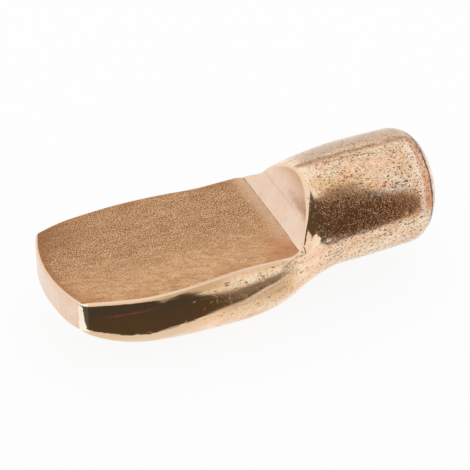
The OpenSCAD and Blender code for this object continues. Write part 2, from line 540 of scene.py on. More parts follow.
def body_grids():
    """Every face of the finished form as welded grids: points in millimetres, faces and zones."""
    patches = Patches()
    seat_share = (over_seat + 1) / 2
    belly_share = (over_belly + 1) / 2
    stations = mix(TIP_X, FOOT_X, graded(BLADE_ROWS, TIP_PULL, EDGE_PULL))
    skin = np.array([skin_row(station, True) for station in stations])
    patches.add(skin, "bar")

    seat = mix(skin[:, None, 0], skin[:, None, -1], seat_share[None, :, None])
    seat[:, 1:-1, 0] = blade_x(stations[:, None], seat[:, 1:-1, 1])
    patches.add(seat, "seat", turned=True)

    near = skin[0, :DOWN + 1]
    low = skin[0, DOWN:DOWN + ACROSS + 1]
    far = skin[0, DOWN + ACROSS:][::-1]
    down = down_side[:, None]
    face = np.zeros((DOWN + 1, ACROSS + 1, 3))
    face[:, :, 1] = mix(near[:, 1:2], far[:, 1:2], mix(seat_share, belly_share, down))
    face[:, :, 2] = mix(SEAT_H, low[:, 2], down)
    face[:, :, 0] = blade_x(TIP_X, face[:, :, 1])
    face[0], face[-1] = seat[0], low
    face[:, 0], face[:, -1] = near, far
    patches.add(face, "tip")

    neck_steps = graded(NECK_ROWS, RIM_PULL, 0)
    lower = np.array([skin_row(x, False) for x in mix(FOOT_X, 0, neck_steps)])
    lower[0] = skin[-1]
    patches.add(lower, "bar")

    arc = arc_points(seat_share)
    arc[0], arc[-1] = lower[0, 0], lower[0, -1]
    ramp = mix(seat[-1], arc, graded(RAMP_ROWS, 0, EDGE_PULL)[:, None, None])
    patches.add(ramp, "ramp", turned=True)
    crown = np.array([crown_point(mix(arc[:, 0], 0, step), seat_share) for step in neck_steps])
    crown[0], crown[:, 0], crown[:, -1] = arc, lower[:, 0], lower[:, -1]
    patches.add(crown, "bar", turned=True)

    ring = np.concatenate([lower[-1], crown[-1][::-1][1:]])
    patches.add(pin_rows(ring), "bar")
    return patches.joined()


def tip_lean(x):
    """Sideways stray of the blade towards its tip."""
    return BLADE_LEAN * fade(x, *BLADE_LEAN_FADE) + TIP_LEAN * fade(x, *TIP_LEAN_FADE)


def tip_hang(x, y, z):
    """Depth by which the near lower corner of the tip hangs lower than the rest of its edge."""
    low = np.clip((SEAT_H - z) / TIP_T, 0, 1)
    return TIP_HANG * fade(y, *HANG_ACROSS) * low * fade(x, *HANG_ALONG)


def shaped_body():
    """The pin as one closed mesh, settled on to its rounded form, with a zone number on each face."""
    points, faces, zones = body_grids()
    fore = points[:, 0] < SETTLED_TO
    points[fore] = settle(points[fore])
    points[:, 2] -= tip_hang(*points.T)
    points[:, 1] += tip_lean(points[:, 0])
    mesh = bpy.data.meshes.new("shelf_support_pin")
    mesh.from_pydata((points * MM).tolist(), [], faces.tolist())
    mesh.attributes.new("zone", "INT", "FACE").data.foreach_set("value", zones.astype(np.int32))
    work = bmesh.new()
    work.from_mesh(mesh)
    bmesh.ops.remove_doubles(work, verts=work.verts, dist=WELD * MM)
    bmesh.ops.dissolve_degenerate(work, edges=work.edges, dist=WELD * MM)
    bmesh.ops.recalc_face_normals(work, faces=work.faces)
    work.to_mesh(mesh)
    work.free()
    mesh.shade_smooth()
    places = np.zeros(len(mesh.vertices) * 3, np.float32)
    mesh.vertices.foreach_get("co", places)
    places = places.reshape(-1, 3).astype(float) / MM
    places[:, 1] -= tip_lean(places[:, 0])
    places[:, 2] += tip_hang(*places.T)
    gaps = edge_gap(places)
    mesh.attributes.new("edge_gap", "FLOAT", "POINT").data.foreach_set("value", gaps.astype(np.float32))
    return mesh


# ---------- node helpers
def feed(socket, value):
    """Joins a socket to another one, or gives it a plain value."""
    if isinstance(value, bpy.types.NodeSocket):
        socket.id_data.links.new(value, socket)
    else:
        socket.default_value = value


def node(tree, kind, feeds=(), **settings):
    made = tree.nodes.new(kind)
    for name, value in settings.items():
        setattr(made, name, value)
    for key, value in dict(feeds).items():
        feed(made.inputs[key], value)
    return made


def calc(operation, *values):
    """A sum with plain values and at least one socket, in that socket's tree."""
    tree = next(value.id_data for value in values if isinstance(value, bpy.types.NodeSocket))
    return node(tree, "ShaderNodeMath", dict(enumerate(values)), operation=operation).outputs[0]


def times(a, b):
    return calc("MULTIPLY", a, b)


def scaled(value, factor, base):
    """The value times a factor, on top of a base."""
    return calc("MULTIPLY_ADD", value, factor, base)


def vector_calc(operation, vector, feeds=()):
    feeds = {0: vector, **dict(feeds)}
    return node(vector.id_data, "ShaderNodeVectorMath", feeds, operation=operation).outputs


def stretch(vector, factors):
    return vector_calc("MULTIPLY", vector, {1: factors})[0]


def shift(vector, amounts):
    return vector_calc("ADD", vector, {1: amounts})[0]


def enlarge(vector, factor):
    return vector_calc("SCALE", vector, {"Scale": factor})[0]


def split(vector):
    return node(vector.id_data, "ShaderNodeSeparateXYZ", {0: vector}).outputs


def ramp(value, start, end, low=0.0, high=1.0):
    """Smooth step of a value between two places."""
    feeds = {"Value": value, "From Min": start, "From Max": end, "To Min": low, "To Max": high}
    return node(value.id_data, "ShaderNodeMapRange", feeds, interpolation_type="SMOOTHSTEP").outputs[0]


def blend(share, a, b):
    """Colour a, with a share of colour b."""
    feeds = {0: share, 6: a, 7: b}
    return node(share.id_data, "ShaderNodeMix", feeds, data_type="RGBA", blend_type="MIX").outputs[2]


def tint(tone, mask, strength, colour):
    """The tone, with a colour laid over it where the mask is."""
    return blend(times(mask, strength), tone, colour)


def between(value, start, end, soft):
    """1 between two places, with soft ends."""
    return times(ramp(value, start - soft, start + soft), ramp(value, end + soft, end - soft))


def all_of(*masks):
    product = masks[0]
    for mask in masks[1:]:
        product = times(product, mask)
    return product


def noise(place, size, detail=2.0, roughness=0.5):
    """Noise from 0 to 1 whose patches are about this many millimetres across."""
    scale = node(place.id_data, "ShaderNodeMath", {0: 1.0, 1: size}, operation="DIVIDE").outputs[0]
    feeds = {"Vector": place, "Scale": scale, "Detail": detail, "Roughness": roughness}
    return node(place.id_data, "ShaderNodeTexNoise", feeds).outputs[0]


def new_group(name, takes, gives):
    """A group that takes a place, named numbers and colours; returns its inputs and its outputs."""
    group = bpy.data.node_groups.new(name, "ShaderNodeTree")
    sockets = group.interface
    sockets.new_socket("Place", in_out="INPUT", socket_type="NodeSocketVector")
    for label, value in takes.items():
        kind = "NodeSocketColor" if isinstance(value, tuple) else "NodeSocketFloat"
        sockets.new_socket(label, in_out="INPUT", socket_type=kind).default_value = value
    for label in gives:
        kind = "NodeSocketColor" if label == "Color" else "NodeSocketFloat"
        sockets.new_socket(label, in_out="OUTPUT", socket_type=kind)
    return node(group, "NodeGroupInput").outputs, node(group, "NodeGroupOutput").inputs


def use_group(name, place, feeds=()):
    made = node(place.id_data, "ShaderNodeGroup", node_tree=bpy.data.node_groups[name])
    for key, value in {"Place": place, **dict(feeds)}.items():
        feed(made.inputs[key], value)
    return made.outputs


# ---------- shared finishes
PIT_SWAY = 2.2  # how far the lattice of the pits is warped, in spacings
SMALLEST_PIT = 0.4  # size of the smallest pit, against the largest
PIT_FLOOR = 0.4  # share of a pit's reach that its floor takes up
WAVES_TO_GRAIN = 4.0  # size of the waves under the grain, in grains, and their stretch along the bar
WAVE_STRETCH = (0.35, 1.0, 1.0)
GRAIN_CUT = (0.45, 0.58)
CORNER_FADE = (-2.1, -1.5)
HIGHLIGHT_CORE = 0.8
HIGHLIGHT_FADE = 0.15
TO_NEAR_CORNER = (-TIP_CORNER_X - 0.05, TIP_W / 2 - BLADE_LEAN - TIP_LEAN + 0.02, 0.0)


def make_mottle_group():
    """Plating that drifts between two tones in soft patches."""
    takes = {"Patch Size": 1.0, "Light Tone": (1, 1, 1, 1), "Deep Tone": (0, 0, 0, 1), "Contrast": 0.2}
    taken, given = new_group("plating_mottle", takes, ["Color"])
    patches = noise(taken["Place"], taken["Patch Size"], 3.0, 0.55)
    low = calc("SUBTRACT", 0.5, taken["Contrast"])
    high = calc("ADD", 0.5, taken["Contrast"])
    mask = ramp(patches, low, high)
    feed(given["Color"], blend(mask, taken["Light Tone"], taken["Deep Tone"]))


def make_pits_group():
    """Small pits left by tumbling: one in each cell of a warped lattice, in a share of the cells."""
    takes = {"Spacing": 0.2, "Size": 0.4, "Share": 0.5, "Depth": 0.01}
    taken, given = new_group("tumbling_pits", takes, ["Mask", "Height"])
    per_mm = calc("DIVIDE", 1.0, taken["Spacing"])
    tree = taken["Place"].id_data
    wander = node(tree, "ShaderNodeTexNoise", {"Vector": taken["Place"], "Scale": per_mm, "Detail": 1.0})
    sway = enlarge(wander.outputs["Color"], times(taken["Spacing"], PIT_SWAY))
    warped = shift(taken["Place"], sway)
    cells = node(tree, "ShaderNodeTexVoronoi", {"Vector": warped, "Scale": per_mm})
    draw = node(tree, "ShaderNodeSeparateColor", {0: cells.outputs["Color"]}).outputs
    present = calc("LESS_THAN", draw[0], taken["Share"])
    reach = times(taken["Size"], scaled(draw[1], 1 - SMALLEST_PIT, SMALLEST_PIT))
    hollow = ramp(calc("DIVIDE", cells.outputs["Distance"], reach), 1.0, PIT_FLOOR)
    mask = times(hollow, present)
    feed(given["Mask"], mask)
    feed(given["Height"], times(mask, times(taken["Depth"], -1.0)))


def make_grain_group():
    """Fine pebbled grain that a worn press tool leaves on a flat face."""
    takes = {"Grain Size": 0.1, "Depth": 0.004, "Waviness": 0.5}
    taken, given = new_group("coined_grain", takes, ["Mask", "Height"])
    grain = noise(taken["Place"], taken["Grain Size"], 1.0, 0.4)
    coarse = times(taken["Grain Size"], WAVES_TO_GRAIN)
    soft = noise(stretch(taken["Place"], WAVE_STRETCH), coarse, 1.0)
    both = scaled(calc("SUBTRACT", soft, 0.5), taken["Waviness"], grain)
    feed(given["Mask"], ramp(both, *GRAIN_CUT))
    feed(given["Height"], times(both, taken["Depth"]))


def make_lines_group():
    """Faint lines along the bar, left by drawing the wire."""
    takes = {"Spacing": 0.1, "Length": 12.0, "Depth": 0.002}
    taken, given = new_group("drawn_lines", takes, ["Height"])
    parts = split(taken["Place"])
    along = calc("DIVIDE", parts[0], taken["Length"])
    place = node(along.id_data, "ShaderNodeCombineXYZ", {0: along, 1: parts[1], 2: parts[2]}).outputs[0]
    lines = noise(place, taken["Spacing"], 2.0, 0.6)
    feed(given["Height"], times(lines, taken["Depth"]))


def make_corner_group():
    """A thin dark line in the pressed corner at a place along the bar, which fades out at the near side."""
    taken, given = new_group("pressed_corner", {"Corner": FOOT_X, "Width": 0.035}, ["Mask"])
    parts = split(taken["Place"])
    off = calc("ABSOLUTE", calc("SUBTRACT", parts[0], taken["Corner"]))
    line = ramp(off, taken["Width"], 0.0)
    kept = ramp(parts[1], *CORNER_FADE)
    broken = ramp(noise(taken["Place"], 0.35, 1.0), 0.3, 0.6, 0.45, 1.0)
    feed(given["Mask"], times(line, times(kept, broken)))


def make_corner_highlight_group():
    """The near corner of the tip: a painted highlight round its upright edge."""
    taken, given = new_group("painted_corner_highlight", {"Reach": 0.3}, ["Mask"])
    flat = stretch(shift(taken["Place"], TO_NEAR_CORNER), (1.0, 1.0, 0.0))
    off = vector_calc("LENGTH", flat)["Value"]
    ragged = scaled(noise(taken["Place"], 0.25, 1.0), 0.12, off)
    beside = ramp(ragged, taken["Reach"], times(taken["Reach"], HIGHLIGHT_CORE))
    height = split(taken["Place"])[2]
    above = ramp(height, SEAT_H - TIP_T - HIGHLIGHT_FADE, SEAT_H - TIP_T)
    feed(given["Mask"], times(beside, above))


make_mottle_group()
make_corner_highlight_group()
make_pits_group()
make_grain_group()
make_lines_group()
make_corner_group()


# ---------- materials
# Colours of the plating, with tints among them that paint reflections and shade on it
CREAM = (0.97, 0.75, 0.54, 1)
ROSE = (0.91, 0.59, 0.38, 1)
PEWTER = (0.74, 0.64, 0.46, 1)
GOLD_REFLECTION = (0.82, 0.56, 0.27, 1)
COPPER_SHADE = (0.86, 0.48, 0.25, 1)
HONEY_AND_SHADE = (0.84, 0.55, 0.31, 1)
BRONZE_AND_SHADE = (0.58, 0.36, 0.19, 1)
TAN = (0.78, 0.50, 0.30, 1)
RED_COPPER = (0.66, 0.30, 0.17, 1)
SEAT_LIGHT = (0.67, 0.385, 0.195, 1)
SEAT_DEEP = (0.61, 0.345, 0.165, 1)
SEAT_GLINT = (0.87, 0.555, 0.315, 1)
RAMP_LIGHT = (0.88, 0.68, 0.53, 1)
RAMP_DEEP = (0.83, 0.60, 0.45, 1)
RAMP_STREAK = (0.74, 0.50, 0.35, 1)
RAMP_CREST_SHADE = (0.64, 0.36, 0.19, 1)
KNEE_SHADE = (0.62, 0.38, 0.24, 1)
# Colours of its wear: rubbed bright, tarnished, stained; and of painted highlights and painted shade
PALE_HIGHLIGHT = (0.95, 0.84, 0.74, 1)
WHITE_HIGHLIGHT = (1.0, 0.90, 0.74, 1)
CREAM_HIGHLIGHT = (0.96, 0.76, 0.54, 1)
EDGE_HIGHLIGHT = (0.86, 0.65, 0.47, 1)
FOOT_WEAR = (0.80, 0.56, 0.38, 1)
FIBRE_LIGHT = (0.76, 0.46, 0.25, 1)
FIBRE_DARK = (0.36, 0.18, 0.085, 1)
SMOKE_SHADE = (0.56, 0.42, 0.29, 1)
SLATE = (0.48, 0.47, 0.44, 1)
RED_STREAK = (0.90, 0.38, 0.25, 1)
RUST_AND_SHADE = (0.58, 0.28, 0.13, 1)
BROWN = (0.30, 0.15, 0.07, 1)
DARK_BROWN = (0.09, 0.04, 0.02, 1)
EDGE_STAIN = (0.56, 0.25, 0.10, 1)
TIP_STAIN = (0.50, 0.21, 0.08, 1)
FAR_TIP_STAIN = (0.36, 0.16, 0.075, 1)
CORNER_STAIN = (0.60, 0.26, 0.12, 1)
GRAIN_STAIN = (0.22, 0.10, 0.04, 1)
FINE_PIT_SHADE = (0.40, 0.18, 0.08, 1)
STROKE_SHADE = (0.50, 0.29, 0.14, 1)
PIT_SHADE = (0.24, 0.09, 0.04, 1)
NICK_SHADE = (0.33, 0.15, 0.08, 1)

# Patches on the bar. A band of three is from, to, and how soft its ends are. A band of two is where the
# patch begins and where it is full. Along and up are in millimetres, around is in degrees. Squared is along
# with the tilt of the end, twisted is around with the turn of the streaks, and sloping is up with a slope.
PATCHES = {
    # The flank is tinted honey: partly the plating's own tone, partly painted shade.
    "flank": {"along": (-2.7, -3.3), "up": (-2.3, -1.5)},
    # Painted reflection: a gold line at the upper edge of the dark reflection band.
    "gold_reflection_edge": {"twisted": (122.0, 134.0, 6.0), "along": (1.2, 0.3)},
    # Painted shade: the dark reflection band on the round pin, made darker towards the free end by
    # shade_end.
    "shade": {"twisted": (129.0, 141.0), "around": (180.0, 168.0)},
    "shade_end": {"along": (0.3, 1.5)},
    "below_rim": {"up": (0.12, 0.22)},
    # Painted shade: a bronze band low on the flank.
    "flank_shade": {"up": (-1.5, -0.95, 0.15), "along": (-6.2, -3.4, 0.5)},
    # Painted highlight: pale streaks across the bright zone high on the flank.
    "flank_highlight": {"up": (-0.30, 0.12, 0.08), "along": (-6.3, -2.6, 0.6)},
    # Painted shade: a brown hump on the dark reflection band. Painted highlight: a pale glare beside it.
    "shade_hump": {"around": (126.0, 134.0, 3.0), "along": (-1.3, 0.2, 0.35)},
    "glare": {"around": (140.0, 146.0, 3.0), "along": (0.5, 2.4, 0.3)},
    # Painted shade: the upper far limb of the round pin.
    "shaded_limb": {"around": (91.0, 80.0)},
    # Painted highlights: a pale ring where the rounding of the free end begins, and a pale lip over it.
    "highlight_ring": {"squared": (PIN_LEN - 1.15, PIN_LEN - 0.85, 0.08), "around": (98.0, 190.0, 12.0)},
    "red_ring": {"squared": (PIN_LEN - 0.88, PIN_LEN - 0.52, 0.09), "around": (92.0, 162.0, 12.0)},
    "highlight_lip": {"squared": (PIN_LEN - 0.42, PIN_LEN - 0.36)},
    "high_end": {"around": (55.0, 112.0, 10.0), "squared": (3.0, 3.35)},
    "tip_wall": {"along": (-6.5, -8.5)},
    "below_edge": {"up": (0.2, 0.08)},
    "red_streak": {"sloping": (0.58, 0.74, 0.10), "along": (-11.2, -9.3, 0.45)},
    "bronzed": {"along": (-9.4, -6.4, 0.8), "up": (-0.15, 0.0)},
    "clean_wall": {"along": (-4.4, -8.6)},
    "clean_limb": {"around": (92.0, 74.0)},
    "clean_corner": {"along": (-3.3, -2.0, 0.3), "up": (-0.2, 1.2, 0.3)},
    "strokes": {"along": (-6.2, -2.8, 0.5)},
    "rough_flank": {"along": (-6.6, -3.2, 0.8)},
}
PIN_BAND = (-1.9, -1.1)  # along: the finish of the round pin begins, and is full
NEAR_SIDE = (0.5, -0.5)  # across: the same for the near side
TOP_STREAK = (91.5, 98.0, 3.2)
END_LINE = (PIN_LEN - 0.45, PIN_LEN - 0.34, 0.02)
TWIST = -6.0  # degrees by which the streaks on the pin turn in a millimetre
WALL_SLOPE = -0.10  # slope of the red streak on the wall

# Scratches on the round pin: from and to in millimetres, degrees round the pin at each end, width in degrees
SCRATCHES = [
    (-0.75, 0.50, 98.0, 97.5, 0.5),
    (0.45, 1.24, 97.5, 100.5, 0.7),
    (1.15, 1.55, 99.5, 104.5, 0.6),
    (-0.48, -0.22, 104.0, 109.0, 1.3),
    (-0.22, 0.12, 120.5, 119.5, 1.2),
    (-0.70, -0.58, 97.0, 95.5, 1.2),
    (0.98, 1.10, 107.0, 108.5, 1.1),
    (2.05, 2.25, 113.0, 112.0, 0.9),
    (0.95, 1.20, 186.0, 190.0, 0.8),
]
SCRATCH_ENDS = 0.06
SCRATCH_DEPTH = 0.012

# Pits on the bar: spacing in millimetres, size in spacings, depth in millimetres
PITS = (0.085, 0.62, 0.005)
FINE_PITS = (0.055, 0.62, 0.0015)
NICKS = (0.30, 0.28, 0.010)
STROKES = (0.09, 0.6, 0.009)
WIRE_LINES = {"Spacing": 0.12, "Length": 14.0, "Depth": 0.003}
FINE_SHIFT = (7.3, 1.9, 4.1)
NICK_SHIFT = (1.3, 6.9, 8.1)
FIBRE_TURN = math.radians(24)


def new_metal(name):
    """A metallic material; returns it with its shader and its place in millimetres."""
    metal = bpy.data.materials.new(name)
    metal.use_nodes = True
    shader = metal.node_tree.nodes["Principled BSDF"]
    shader.inputs["Metallic"].default_value = 1
    place = stretch(node(metal.node_tree, "ShaderNodeTexCoord").outputs["Object"], PER_MM)
    return metal, shader, place


def press_relief(shader, heights):
    """Joins heights in millimetres into one bump."""
    total = heights[0]
    for height in heights[1:]:
        total = calc("ADD", total, height)
    bump = node(total.id_data, "ShaderNodeBump", {"Height": total, "Strength": 1.0, "Distance": MM})
    feed(shader.inputs["Normal"], bump.outputs[0])


def edge_gap_of(metal):
    """Distance from the nearest edge, in millimetres, as the mesh carries it."""
    return node(metal.node_tree, "ShaderNodeAttribute", attribute_name="edge_gap").outputs["Fac"]


def mottled(place, size, light, deep, contrast):
    feeds = {"Patch Size": size, "Light Tone": light, "Deep Tone": deep, "Contrast": contrast}
    return use_group("plating_mottle", place, feeds)["Color"]


def grained(place, size, depth, waviness):
    return use_group("coined_grain", place, {"Grain Size": size, "Depth": depth, "Waviness": waviness})


def pitted(place, share, spacing, size, depth):
    feeds = {"Spacing": spacing, "Size": size, "Share": share, "Depth": depth}
    return use_group("tumbling_pits", place, feeds)


class BarPlaces:
    """Places on the bar: along, across and up, and round it in degrees from +Y towards +Z."""

    def __init__(self, place):
        parts = split(place)
        self.along, self.across, self.up = parts[0], parts[1], parts[2]
        around = calc("DEGREES", calc("ARCTAN2", parts[2], parts[1]))
        below = calc("LESS_THAN", around, 0.0)
        self.around = scaled(below, 360.0, around)
        self.twisted = scaled(self.along, TWIST, self.around)
        self.sloping = scaled(self.along, WALL_SLOPE, self.up)
        self.squared = scaled(self.up, -END_TILT, self.along)
        self.on_pin = ramp(self.along, *PIN_BAND)
        self.near_side = ramp(self.across, *NEAR_SIDE)

    def patch(self, name):
        """Mask of a named patch."""
        masks = []
        for place, band in PATCHES[name].items():
            value = getattr(self, place)
            masks.append(between(value, *band) if len(band) == 3 else ramp(value, *band))
        return all_of(*masks)


def bar_tone(place, spots):
    """Colour of the plating on the bar before its pits: cream, pink and gold, with brown streaks. The gold
    line, the copper and brown shade, the smoky limb and the pale glare are painted reflections, painted
    shade and painted highlights.
    """
    drawn = stretch(place, (0.45, 1.0, 1.0))
    tone = mottled(drawn, 0.5, CREAM, ROSE, 0.13)
    greyer = mottled(shift(drawn, (4.0, 9.0, 2.0)), 0.6, tone, PEWTER, 0.08)
    tone = blend(times(spots.on_pin, 0.35), tone, greyer)

    # Painted reflection: a gold line along the upper edge of the dark reflection band on the round pin.
    gold_reflection_edge = all_of(spots.patch("gold_reflection_edge"), spots.on_pin)
    # Painted shade: inside the dark reflection band the tone turns deeper copper, and rust-brown towards the
    # free end.
    shaded = times(spots.patch("shade"), 0.8)
    tone = tint(tone, gold_reflection_edge, 0.6, GOLD_REFLECTION)
    tone = blend(times(shaded, spots.on_pin), tone, COPPER_SHADE)
    tone = tint(tone, all_of(shaded, spots.patch("shade_end")), 0.7, RUST_AND_SHADE)

    # The honey tone on the flank is partly the plating's own tone and partly painted shade; the bronze band
    # low on it is painted shade.
    on_flank = spots.patch("flank")
    tone = tint(tone, on_flank, 0.9, HONEY_AND_SHADE)
    tone = tint(tone, all_of(on_flank, spots.patch("below_rim")), 0.7, TAN)
    tone = tint(tone, spots.patch("flank_shade"), 0.6, BRONZE_AND_SHADE)
    # Painted highlight: pale cream streaks across the bright zone high on the flank.
    streaky = noise(stretch(place, (1.0, 1.0, 0.25)), 0.09, 2.0)
    streaky = ramp(streaky, 0.35, 0.6, 0.3, 1.0)
    tone = blend(all_of(spots.patch("flank_highlight"), streaky), tone, CREAM_HIGHLIGHT)

    # Painted shade: a brown hump on the dark reflection band; painted highlight: a pale glare beside it.
    tone = tint(tone, spots.patch("shade_hump"), 0.7, BROWN)
    tone = tint(tone, spots.patch("glare"), 0.5, PALE_HIGHLIGHT)
    # Painted shade: the upper far limb of the round pin is darkened with a smoky tone.
    tone = tint(tone, all_of(spots.patch("shaded_limb"), spots.on_pin), 0.85, SMOKE_SHADE)
    wander = scaled(noise(drawn, 0.5, 1.0), 8.0, spots.around)
    broken = ramp(noise(drawn, 0.25, 2.0), 0.2, 0.5)
    tone = tint(tone, all_of(between(wander, *TOP_STREAK), broken), 0.7, BROWN)
    freckles = ramp(noise(place, 0.11, 3.0, 0.65), 0.50, 0.62)
    freckles = times(freckles, scaled(spots.on_pin, 0.35, 0.1))
    return blend(freckles, tone, RUST_AND_SHADE)


def scratch_mask(spots):
    """Nicks and scratches on the round pin, each a short straight stroke."""
    total = None
    for start, end, around_start, around_end, width in SCRATCHES:
        lean = (around_end - around_start) / (end - start)
        middle = scaled(spots.along, lean, around_start - lean * start)
        off = calc("ABSOLUTE", calc("SUBTRACT", spots.around, middle))
        within = between(spots.along, start, end, SCRATCH_ENDS)
        stroke = times(ramp(off, width, 0.0), within)
        total = stroke if total is None else calc("MAXIMUM", total, stroke)
    return total


def end_marks_and_highlights(place, spots, tone):
    """Round the free end: painted highlights as a pale ring and a pale lip, and marks of the shearing, a
    reddish ring and a thin dark line.
    """
    # Painted highlights: a pale ring where the rounding begins and a pale lip over the rounded end.
    tone = tint(tone, spots.patch("highlight_ring"), 0.4, PALE_HIGHLIGHT)
    red = spots.patch("red_ring")
    speckled = ramp(noise(place, 0.12, 2.0), 0.35, 0.6, 0.25, 0.85)
    tone = blend(times(red, speckled), tone, RED_COPPER)
    tone = tint(tone, spots.patch("highlight_lip"), 0.7, PALE_HIGHLIGHT)
    ragged = scaled(noise(place, 0.22, 2.0), 0.16, spots.squared)
    line = between(ragged, *END_LINE)
    line = times(line, ramp(noise(place, 0.35, 1.0), 0.25, 0.5, 0.5, 1.0))
    tone = tint(tone, spots.patch("high_end"), 0.45, BROWN)
    return blend(line, tone, DARK_BROWN), red


def wall_tarnish(spots, tone):
    """Tarnish on the blade's near wall by the tip: slate above, one red streak, and bronze behind it."""
    high = ramp(spots.up, -0.9, 0.0, 0.25, 0.8)
    slate = all_of(spots.near_side, spots.patch("tip_wall"), high, spots.patch("below_edge"))
    tone = blend(slate, tone, SLATE)
    streak = all_of(spots.patch("red_streak"), spots.near_side)
    tone = tint(tone, streak, 0.85, RED_STREAK)
    bronzed = all_of(spots.patch("bronzed"), spots.near_side)
    return tint(tone, bronzed, 0.85, BRONZE_AND_SHADE), streak


def tumbling_share(place, spots, clean_wall, red):
    """How heavily the bar is pitted: most on the round pin, least on the wall by the tip."""
    worn = scaled(noise(place, 1.2, 1.0), 0.9, 0.45)
    heavy = times(worn, scaled(spots.on_pin, 0.75, 0.25))
    heavy = times(heavy, calc("SUBTRACT", 1.0, clean_wall))
    heavy = times(heavy, scaled(spots.patch("clean_limb"), -0.6, 1.0))
    heavy = times(heavy, scaled(spots.patch("clean_corner"), -0.85, 1.0))
    return scaled(red, 0.3, heavy)


def make_bar_copper():
    metal, shader, place = new_metal("tumbled_copper")
    spots = BarPlaces(place)
    tone = bar_tone(place, spots)
    tone, red_streak = wall_tarnish(spots, tone)
    tone, red = end_marks_and_highlights(place, spots, tone)
    scratches = scratch_mask(spots)
    clean_wall = spots.patch("clean_wall")
    heavy = tumbling_share(place, spots, clean_wall, red)

    pits = pitted(stretch(place, (0.75, 1.0, 1.0)), times(heavy, 0.95), *PITS)
    fine = pitted(shift(place, FINE_SHIFT), times(heavy, 0.85), *FINE_PITS)
    apart = stretch(shift(place, NICK_SHIFT), (0.45, 1.0, 1.0))
    nicks = pitted(apart, times(heavy, 0.45), *NICKS)
    on_flank = times(spots.patch("strokes"), times(heavy, 2.2))
    strokes = pitted(stretch(place, (1.0, 1.0, 0.3)), on_flank, *STROKES)
    lines = use_group("drawn_lines", place, WIRE_LINES)
    # Painted shade: the pits, fine pits, strokes, nicks and scratches are darkened by colour, as shade in
    # their hollows.
    tone = tint(tone, fine["Mask"], 0.75, FINE_PIT_SHADE)
    tone = tint(tone, strokes["Mask"], 0.35, STROKE_SHADE)
    tone = tint(tone, pits["Mask"], 0.9, PIT_SHADE)
    tone = tint(tone, nicks["Mask"], 0.7, NICK_SHADE)
    tone = tint(tone, scratches, 0.8, BROWN)
    # Painted highlight: a paler colour along the edges.
    tone = tint(tone, ramp(edge_gap_of(metal), 0.10, 0.05), 0.8, EDGE_HIGHLIGHT)
    # Painted highlight: white up the near corner of the tip.
    corner_highlight = use_group("painted_corner_highlight", place)
    feed(shader.inputs["Base Color"], blend(corner_highlight["Mask"], tone, WHITE_HIGHLIGHT))

    rough = scaled(pits["Mask"], 0.2, 0.14)
    rough = scaled(spots.patch("rough_flank"), 0.17, rough)
    rough = scaled(clean_wall, -0.05, rough)
    feed(shader.inputs["Roughness"], scaled(red_streak, 0.18, rough))
    carved = times(scratches, -SCRATCH_DEPTH)
    layers = [pits, fine, nicks, strokes, lines]
    press_relief(shader, [layer["Height"] for layer in layers] + [carved])
    return metal


def seat_stains(place, along, across, gap, colour):
    """Copper shining through where the seat is rubbed: along its edges and by its corners."""
    patchy = ramp(noise(place, 1.0, 2.0), 0.35, 0.6)
    colour = tint(colour, times(ramp(gap, 0.9, 0.15), patchy), 0.5, EDGE_STAIN)
    far_tip = times(ramp(along, TIP_X + 3.5, TIP_X + 0.3), ramp(across, 0.4, 2.2))
    colour = tint(colour, far_tip, 0.8, FAR_TIP_STAIN)
    tip_edge = times(ramp(along, TIP_X + 1.9, TIP_X + 0.9), ramp(gap, 0.5, 0.1))
    colour = tint(colour, tip_edge, 0.75, TIP_STAIN)
    foot_corner = times(ramp(along, FOOT_X - 1.6, FOOT_X - 0.4), ramp(across, -0.9, -2.1))
    return tint(colour, foot_corner, 0.7, CORNER_STAIN)


def seat_fibres(place, across, colour):
    """Soft light and dark fibres across the seat, strongest towards the near side."""
    turn = {"Vector": place, "Angle": FIBRE_TURN}
    turned = node(place.id_data, "ShaderNodeVectorRotate", turn, rotation_type="Z_AXIS")
    drift = node(place.id_data, "ShaderNodeTexNoise", {"Vector": place, "Scale": 1.4}).outputs["Color"]
    swayed = shift(turned.outputs[0], enlarge(drift, 0.5))
    strands = noise(stretch(swayed, (0.2, 1.0, 1.0)), 0.13, 2.0, 0.6)
    to_near = ramp(across, 1.0, -0.6, 0.15, 0.4)
    colour = blend(times(ramp(strands, 0.50, 0.64), to_near), colour, FIBRE_DARK)
    return blend(times(ramp(strands, 0.44, 0.32), to_near), colour, FIBRE_LIGHT)


def make_seat_copper():
    metal, shader, place = new_metal("coined_seat")
    parts = split(place)
    along, across = parts[0], parts[1]
    gap = edge_gap_of(metal)
    colour = mottled(place, 2.4, SEAT_LIGHT, SEAT_DEEP, 0.2)
    glints = grained(shift(place, (3.1, 5.7, 0.0)), 0.055, 0.0, 0.15)
    colour = tint(colour, glints["Mask"], 0.6, SEAT_GLINT)
    colour = seat_stains(place, along, across, gap, colour)
    grain = grained(place, 0.05, 0.012, 0.15)
    strength = ramp(across, -2.2, 0.4, 0.3, 1.0)
    colour = tint(colour, grain["Mask"], strength, GRAIN_STAIN)
    colour = seat_fibres(place, across, colour)

    by_foot = times(ramp(along, FOOT_X - 0.75, FOOT_X - 0.1), ramp(across, -2.6, -1.0))
    colour = tint(colour, by_foot, 0.6, FOOT_WEAR)
    corner = use_group("pressed_corner", place)
    colour = tint(colour, corner["Mask"], 0.8, BROWN)
    # Painted highlight: a pale line along the seat's edges, where the rim is also made glossier.
    rim = ramp(gap, 0.11, 0.06)
    feed(shader.inputs["Base Color"], blend(rim, colour, EDGE_HIGHLIGHT))
    feed(shader.inputs["Roughness"], scaled(rim, -0.2, 0.42))
    press_relief(shader, [grain["Height"]])
    return metal


